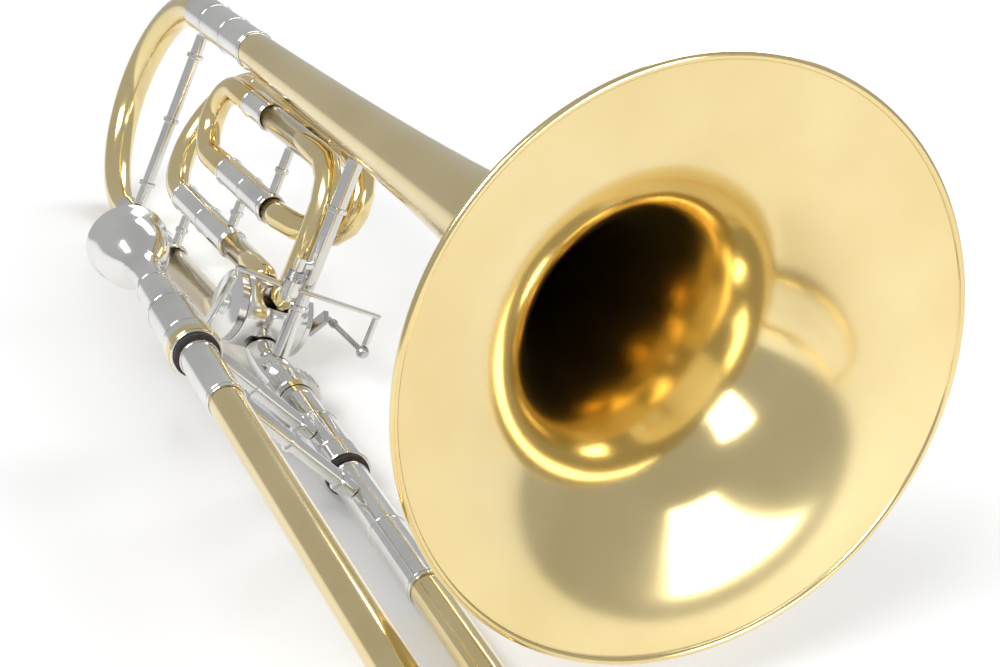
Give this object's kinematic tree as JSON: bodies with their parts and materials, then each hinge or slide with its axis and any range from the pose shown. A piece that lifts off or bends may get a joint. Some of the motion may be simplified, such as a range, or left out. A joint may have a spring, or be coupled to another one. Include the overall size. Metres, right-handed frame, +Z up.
{
  "type": "bass trombone",
  "caption": "Bass trombone lying closed, with a wide bell, one rotary valve, extra tubing and a hand slide that runs out.",
  "frame": {"origin": "on the floor, straight below the middle of the bell rim", "axes": "+X along the slide's outward run, +Z up"},
  "size_m": [1.1878, 0.2894, 0.2629],
  "materials": {
    "brass": "polished",
    "nickel": "polished",
    "steel": "polished",
    "cork": "matte"
  },
  "bodies": {
    "frame": {"bell": "brass", "bell_sleeve": "nickel", "front_brace": "nickel", "gap_ring": "cork", "inner_brace": "nickel", "inner_front_bow": "brass", "inner_long_tube": "brass", "inner_rear_bow": "brass", "leadpipe": "brass", "lever_bracket": "nickel", "lever_post": "nickel", "lower_barrel": "nickel", "lower_inner_tube": "nickel", "lower_lock_ring": "nickel", "lower_socket": "nickel", "lower_wrap_sleeve": "nickel", "mouthpiece_receiver": "nickel", "neck_sleeve": "nickel", "neck_tube": "brass", "rear_leg_sleeve": "nickel", "rear_leg_tube": "brass", "receiver_tube": "nickel", "stay_lower": "nickel", "stay_middle": "nickel", "stay_upper": "nickel", "upper_barrel": "nickel", "upper_inner_tube": "nickel", "upper_lock_ring": "nickel", "upper_wrap_sleeve": "nickel", "valve_back_plate": "nickel", "valve_cap": "nickel", "valve_casing": "nickel", "valve_front_crook": "brass"},
    "hand_slide": {"lower_outer_tube": "brass", "upper_outer_tube": "brass", "lower_outer_sleeve": "nickel", "upper_outer_sleeve": "nickel", "outer_brace": "nickel", "slide_bow": "brass", "slide_bumper": "cork"},
    "main_tuning_slide": {"main_tuning_bow": "brass", "bell_tuning_leg": "nickel", "neck_tuning_leg": "nickel", "tuning_brace": "nickel"},
    "valve_tuning_slide": {"valve_tuning_bow": "brass"},
    "rotor": {"valve_rotor": "brass", "stop_arm": "steel"},
    "lock_nut": {"bell_lock_nut": "nickel"},
    "mouthpiece": {"mouthpiece": "nickel"},
    "lever": {"lever_hub": "nickel", "lever_front_bar": "nickel", "lever_drop": "nickel", "lever_ball": "steel", "lever_rear_bar": "nickel", "lever_paddle": "nickel"},
    "link": {"link_rod": "steel"}
  },
  "joints": [
    {"name": "hand_slide", "type": "slide", "parent": "frame", "child": "hand_slide", "axis": [0.9986, -0.0525, -0.0091], "range_m": [0, 0.61]},
    {"name": "main_tuning_slide", "type": "slide", "parent": "frame", "child": "main_tuning_slide", "axis": [-0.9998, -0.0039, -0.0196], "range_m": [0, 0.06]},
    {"name": "valve_tuning_slide", "type": "slide", "parent": "frame", "child": "valve_tuning_slide", "axis": [-0.9998, -0.0039, -0.0196], "range_m": [0, 0.018]},
    {"name": "thumb_lever", "type": "hinge", "parent": "frame", "child": "lever", "pos_m": [-0.32032, -0.04487, 0.06201], "axis": [-0.0196, 0.3826, 0.9237], "range_deg": [0, 16], "stiffness_Nm_per_rad": 0.6, "springref_deg": -17.19},
    {"name": "link_turn", "type": "hinge", "parent": "lever", "child": "link", "pos_m": [-0.30975, -0.00998, 0.02613], "axis": [-0.0196, 0.3826, 0.9237], "range_deg": [-16, 0]},
    {"name": "rotor_turn", "type": "hinge", "parent": "frame", "child": "rotor", "pos_m": [-0.36471, -0.04467, 0.03067], "axis": [-0.0039, -0.9239, 0.3826], "range_deg": [0, 90]},
    {"name": "lock_nut_turn", "type": "hinge", "parent": "frame", "child": "lock_nut", "pos_m": [-0.31736, -0.05149, 0.01469], "axis": [0.9986, -0.0525, -0.0091], "continuous": true},
    {"name": "mouthpiece_pull", "type": "slide", "parent": "frame", "child": "mouthpiece", "axis": [-0.9986, 0.0525, 0.0091], "range_m": [0, 0.06]}
  ],
  "couplings": [
    {"joint": "rotor_turn", "follows": "thumb_lever", "ratio": 5.625},
    {"joint": "link_turn", "follows": "thumb_lever", "ratio": -1}
  ]
}
